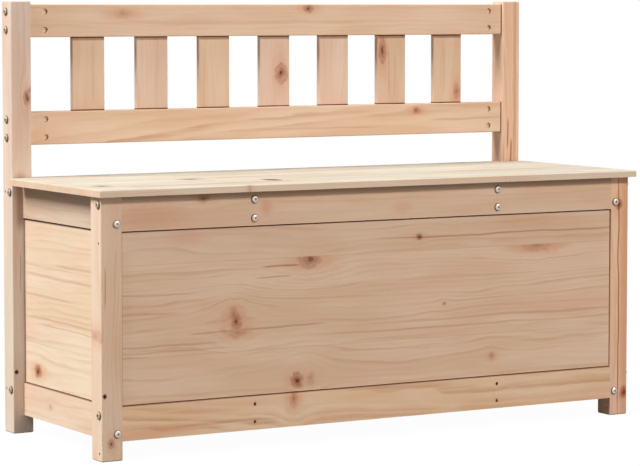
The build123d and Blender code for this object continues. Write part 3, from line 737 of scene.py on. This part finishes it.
for number, shade in enumerate(SLAT_SHADES, 1):
    lean = (-1) ** number
    pine_finish(f"back_slat_{number}", "along_z", (140 * lean, -400), contrast=0.2, shade=shade,
                knots=SLAT_KNOTS.get(number, []), streaks=SLAT_STREAKS.get(number, []),
                # Painted shade where each slat goes into the rails.
                shade_lines=[(ALONG, level, 3.2, 1.0) for level in slat_ends],
                colours=PINKISH if number in PINKISH_SLATS else None)
print("backrest dressed, slats show between", [round(level, 1) for level in slat_ends], "mm")

# %% [markdown]
# Zinc-plated steel is a pale metal, a little blotchy from the plating bath and finely scratched. Sockets and
# rims get painted shade, where a mesh carries an attribute that says so: an attribute stays with the mesh,
# while a pattern would have to know where each head is. The bolts in the ends of the bench are painted
# duller and browner, a painted reflection of the wood about them, and the barrel nuts are painted paler and
# warmer, as painted light for their ends deep in the holes.

# %% Steel
steel_group, given, result = new_group("zinc_plate", {
    "Place": None, "Light": paint(214, 214, 212), "Dull": paint(176, 176, 172), "Gloss": 0.2, "Grime": 0.0},
    {"Color": "Color", "Roughness": "Float", "Height": "Float"})
tree = steel_group
blotch = ramp(tree, noise(tree, given["Place"], (2.2, 2.2, 2.2), 3.0), 0.35, 0.7)
scratch = noise(tree, given["Place"], (0.15, 2.5, 0.4), 2.0)
rough = sums(tree, "MULTIPLY_ADD", blotch, 0.14, sums(tree, "MULTIPLY_ADD", scratch, 0.1, given["Gloss"]))
zinc = blend(tree, blotch, given["Light"], given["Dull"])
# This dark colour is painted shade, laid on sockets and rims by the mesh's attribute.
feed(tree, result["Color"], blend(tree, given["Grime"], zinc, paint(74, 58, 48)))
feed(tree, result["Roughness"], sums(tree, "MULTIPLY_ADD", given["Grime"], 0.3, rough))
feed(tree, result["Height"], scratch)


def steel_finish(name, light, dull, gloss, metallic=1.0):
    """Plated steel in two tints, with its least roughness and its share of bare metal."""
    finish, tree = new_finish(name)
    coordinates = add_node(tree, "TexCoord").outputs["Object"]
    place = vector_sums(tree, "MULTIPLY", coordinates, (TO_MM,) * 3)
    painted_shade = add_node(tree, "Attribute", {"attribute_name": "painted_shade"}).outputs["Fac"]
    steel = place_group(tree, steel_group, Place=place, Light=light, Dull=dull, Gloss=gloss, Grime=painted_shade)
    bump = add_node(tree, "Bump", Strength=0.08, Distance=0.0001, Height=steel["Height"])
    surface = add_node(tree, "BsdfPrincipled", Base_Color=steel["Color"],
                       Roughness=steel["Roughness"], Normal=bump.outputs[0])
    surface.inputs["Metallic"].default_value = metallic
    add_node(tree, "OutputMaterial", Surface=surface.outputs[0])
    return finish


bolt_zinc = steel_finish("zinc_bolt", paint(226, 210, 199), paint(194, 176, 164), 0.34, 0.8)
# The end bolts are painted darker and browner, a painted reflection of the wood about them.
dimmed_end_bolt_zinc = steel_finish("zinc_end_bolt_dimmed", paint(190, 170, 146), paint(158, 138, 116), 0.42, 0.8)
# The nuts are painted paler, warmer and less metallic, as painted light for ends that lie deep in holes.
brightened_nut_zinc = steel_finish("zinc_nut_brightened", paint(240, 208, 180), paint(230, 196, 166), 0.45, 0.3)
hinge_zinc = steel_finish("zinc_hinge", paint(200, 200, 197), paint(164, 164, 160), 0.24)
for name, piece in nodes.items():
    if name.endswith("_screws") or name.startswith("hinge_") and name != "hinge_strip":
        dress(piece, hinge_zinc)
print("hinges and screws dressed")

# %% [markdown]
# A furniture bolt has a low domed head with a hexagon socket. Turned parts can be spun from a profile, but
# with a few rings it is as easy to start from a disc and extrude and resize it along the profile, as a
# lathe hand would read a drawing. The socket is cut with a Boolean. The bolt stands at the origin with its
# head's seat at zero, and its corners carry painted shade in the socket and on the rim.

# %% A domed bolt
MM = 0.001
HEAD_HEIGHT = 3.6
HEAD_PROFILE = [(6.7, 0.0), (7.0, 0.3), (7.0, 0.8), (6.75, 1.35), (6.2, 2.0), (5.4, 2.65), (4.5, 3.2),
                (3.5, HEAD_HEIGHT)]
SHANK_RADIUS = 3.0
SHANK_CHAMFER = 0.8
SOCKET_WIDTH = 4.0
SOCKET_DEPTH = 2.2
# Painted shade lies on the rim beyond this radius and, more faintly, in the socket.
SHADED_RIM_RADIUS = 6.0
SOCKET_SHADE, RIM_SHADE = 0.3, 0.75


def turned_piece(name, profile, sides=48):
    """A round solid: a disc is extruded and resized along a profile of radius and height in mm."""
    bpy.ops.object.select_all(action="DESELECT")
    radius, height = profile[0]
    bpy.ops.mesh.primitive_circle_add(vertices=sides, radius=radius * MM, fill_type="NGON",
                                      location=(0, 0, height * MM))
    piece = bpy.context.object
    piece.name = name
    bpy.ops.object.transform_apply(location=True, rotation=False, scale=False)
    bpy.ops.object.mode_set(mode="EDIT")
    bpy.ops.mesh.select_all(action="SELECT")
    for wide, up in profile[1:]:
        bpy.ops.mesh.extrude_region_move(TRANSFORM_OT_translate={"value": (0, 0, (up - height) * MM)})
        bpy.ops.transform.resize(value=(wide / radius, wide / radius, 1))
        radius, height = wide, up
    bpy.ops.mesh.select_all(action="SELECT")
    bpy.ops.mesh.normals_make_consistent(inside=False)
    bpy.ops.object.mode_set(mode="OBJECT")
    return piece


def carve(piece, cutter):
    """Cut one solid out of another and throw the cutter away."""
    cut = piece.modifiers.new("cut", "BOOLEAN")
    cut.operation = "DIFFERENCE"
    cut.object = cutter
    bpy.context.view_layer.objects.active = piece
    bpy.ops.object.modifier_apply(modifier=cut.name)
    bpy.data.objects.remove(cutter)


def domed_bolt(shank):
    """A bolt with a shank of a length in mm."""
    tip = [(SHANK_RADIUS - SHANK_CHAMFER, -shank), (SHANK_RADIUS, SHANK_CHAMFER - shank),
           (SHANK_RADIUS, 0.0)]
    bolt = turned_piece("domed_bolt", tip + HEAD_PROFILE)
    bpy.ops.mesh.primitive_cylinder_add(vertices=6, radius=SOCKET_WIDTH / math.sqrt(3) * MM,
                                        depth=2 * SOCKET_DEPTH * MM, location=(0, 0, HEAD_HEIGHT * MM))
    carve(bolt, bpy.context.object)
    painted_shade = bolt.data.attributes.new("painted_shade", "FLOAT", "POINT")
    for corner in bolt.data.vertices:
        out, up = corner.co.xy.length / MM, corner.co.z / MM
        in_socket = out < SOCKET_WIDTH * 0.6 and up < HEAD_HEIGHT - 0.1
        on_rim = out > SHADED_RIM_RADIUS and up >= 0
        painted_shade.data[corner.index].value = SOCKET_SHADE if in_socket else RIM_SHADE if on_rim else 0.0
    return bolt


print("domed bolt ready")

# %% [markdown]
# A barrel nut is a short steel rod with a threaded hole across it and a screwdriver slot in its end, so
# that it can be turned until its hole meets the bolt. Its ends are eased. The photograph shows the ends of
# the backrest's nuts as pale as the wood, each beside a dark crescent, which is the far wall of its hole.
# Deep in a hole an end would be dark, so these nuts rise nearer to the face than the frame's plain ones,
# and are a little slimmer.

# %% A barrel nut
NUT_RADIUS = 5.0
NUT_LENGTH = 14.0
NUT_EASING = 0.5
SLOT_WIDTH = 1.2
SLOT_DEPTH = 1.5
NUT_HOLE = 3.1
SLIM_RADIUS, SLIM_RISE = 4.7, 4.2


def barrel_nut(radius=NUT_RADIUS, rise=0.0):
    """A nut with its slotted end so far above zero, its body below and its hole along X."""
    eased = radius - NUT_EASING
    nut = turned_piece("barrel_nut", [(eased, -NUT_LENGTH), (radius, NUT_EASING - NUT_LENGTH),
                                      (radius, rise - NUT_EASING), (eased, rise)])
    bpy.ops.mesh.primitive_cube_add(size=MM, location=(0, 0, rise * MM))
    slot = bpy.context.object
    slot.scale = (3 * NUT_RADIUS, SLOT_WIDTH, 2 * SLOT_DEPTH)
    bpy.ops.object.transform_apply(location=True, scale=True)
    carve(nut, slot)
    bpy.ops.mesh.primitive_cylinder_add(vertices=32, radius=NUT_HOLE * MM, depth=3 * NUT_RADIUS * MM,
                                        location=(0, 0, -NUT_LENGTH / 2 * MM), rotation=(0, math.pi / 2, 0))
    carve(nut, bpy.context.object)
    return nut


print("barrel nut ready")

# %% [markdown]
# Each bolt and nut goes where the frame has its plain one. A node that holds a whole set is split into its
# loose solids, on a merged copy of its mesh, and each solid's box gives the place, the direction and the
# length. One model is copied to all of them, and the copies of a set are joined into one piece that stands
# for the node.

# %% Places of the bolts and nuts
SMOOTH_BELOW = math.radians(35)


def loose_boxes(node):
    """Lowest and highest corners of each loose solid in a node."""
    mesh = bmesh.new()
    mesh.from_mesh(nodes[node].data)
    bmesh.ops.remove_doubles(mesh, verts=mesh.verts, dist=1e-6)
    boxes, waiting = [], set(mesh.verts)
    for seed in mesh.verts:
        if seed not in waiting:
            continue
        waiting.discard(seed)
        island, edge = [], [seed]
        while edge:
            corner = edge.pop()
            island.append(corner.co.copy())
            for link in corner.link_edges:
                other = link.other_vert(corner)
                if other in waiting:
                    waiting.discard(other)
                    edge.append(other)
        boxes.append([Vector([pick(co[i] for co in island) for i in range(3)]) for pick in (min, max)])
    mesh.free()
    return boxes


def set_of(node, model, finish, outward, depth, roll):
    """Copy a model to each solid of a node, looking away from the middle of the bench (1) or towards it (-1).
    Its zero lies a depth in mm under the solid's end on that side."""
    copies = []
    for low, high in loose_boxes(node):
        size = high - low
        axis = max(range(3), key=lambda i: size[i])
        centre = (low + high) / 2
        sign = outward * math.copysign(1, centre[axis])
        direction = Vector([sign if i == axis else 0 for i in range(3)])
        start = centre + direction * (size[axis] / 2 - depth * MM)
        turn = Vector((0, 0, 1)).rotation_difference(direction).to_matrix().to_4x4()
        spin = Matrix.Rotation(roll(axis, len(copies)), 4, "Z")
        copy = model.copy()
        copy.data = model.data.copy()
        copy.data.transform(Matrix.Translation(start) @ turn @ spin)
        bpy.context.collection.objects.link(copy)
        copies.append(copy)
    bpy.data.objects.remove(model)
    bpy.ops.object.select_all(action="DESELECT")
    for copy in copies:
        copy.select_set(True)
    piece = copies[0]
    bpy.context.view_layer.objects.active = piece
    bpy.ops.object.join()
    bpy.ops.object.shade_smooth_by_angle(angle=SMOOTH_BELOW)
    piece.name = "fine_" + node
    dress(piece, finish)
    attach(piece, "bench_frame")
    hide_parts(node)
    print(piece.name, len(copies), "pieces,", len(piece.data.polygons), "faces")


print("places ready")

# %% [markdown]
# Thirty-two bolts hold the bench together, in sets with shanks of different lengths. A bolt could be
# stretched to fit, but its head would stretch too, so one is modelled for each set at the length that the
# frame gives. Each copy is turned further round than the one before it, because nobody lines up the sockets
# of bolts.

# %% Bolts
FIRST_TURN, NEXT_TURN = 0.4, 1.9    # radians
BOLT_SETS = {"front_rail_bolts": dimmed_end_bolt_zinc, "rear_rail_bolts": dimmed_end_bolt_zinc,
             "backrest_bolts": dimmed_end_bolt_zinc, "side_rail_bolts": bolt_zinc, "seat_bearer_bolts": bolt_zinc}
for node, finish in BOLT_SETS.items():
    low, high = loose_boxes(node)[0]
    bolt = domed_bolt(max(high - low) / MM - HEAD_HEIGHT)
    set_of(node, bolt, finish, 1, HEAD_HEIGHT,
           lambda axis, count: FIRST_TURN + NEXT_TURN * count)

# %% [markdown]
# Each bolt ends in a nut that lies across it, with its hole turned to the bolt. The slotted ends look to
# the middle of the bench, from where a screwdriver reaches them, apart from those of the seat bearers,
# which look to its ends.

# %% Barrel nuts
NUT_SETS = ("front_rail_nuts", "rear_rail_nuts", "side_rail_nuts", "seat_bearer_nuts", "backrest_nuts")
for node in NUT_SETS:
    outward = 1 if node == "seat_bearer_nuts" else -1
    nut = barrel_nut(SLIM_RADIUS, SLIM_RISE) if node == "backrest_nuts" else barrel_nut()
    set_of(node, nut, brightened_nut_zinc, outward, 0.0,
           lambda axis, count: math.pi / 2 if axis == 0 else 0.0)
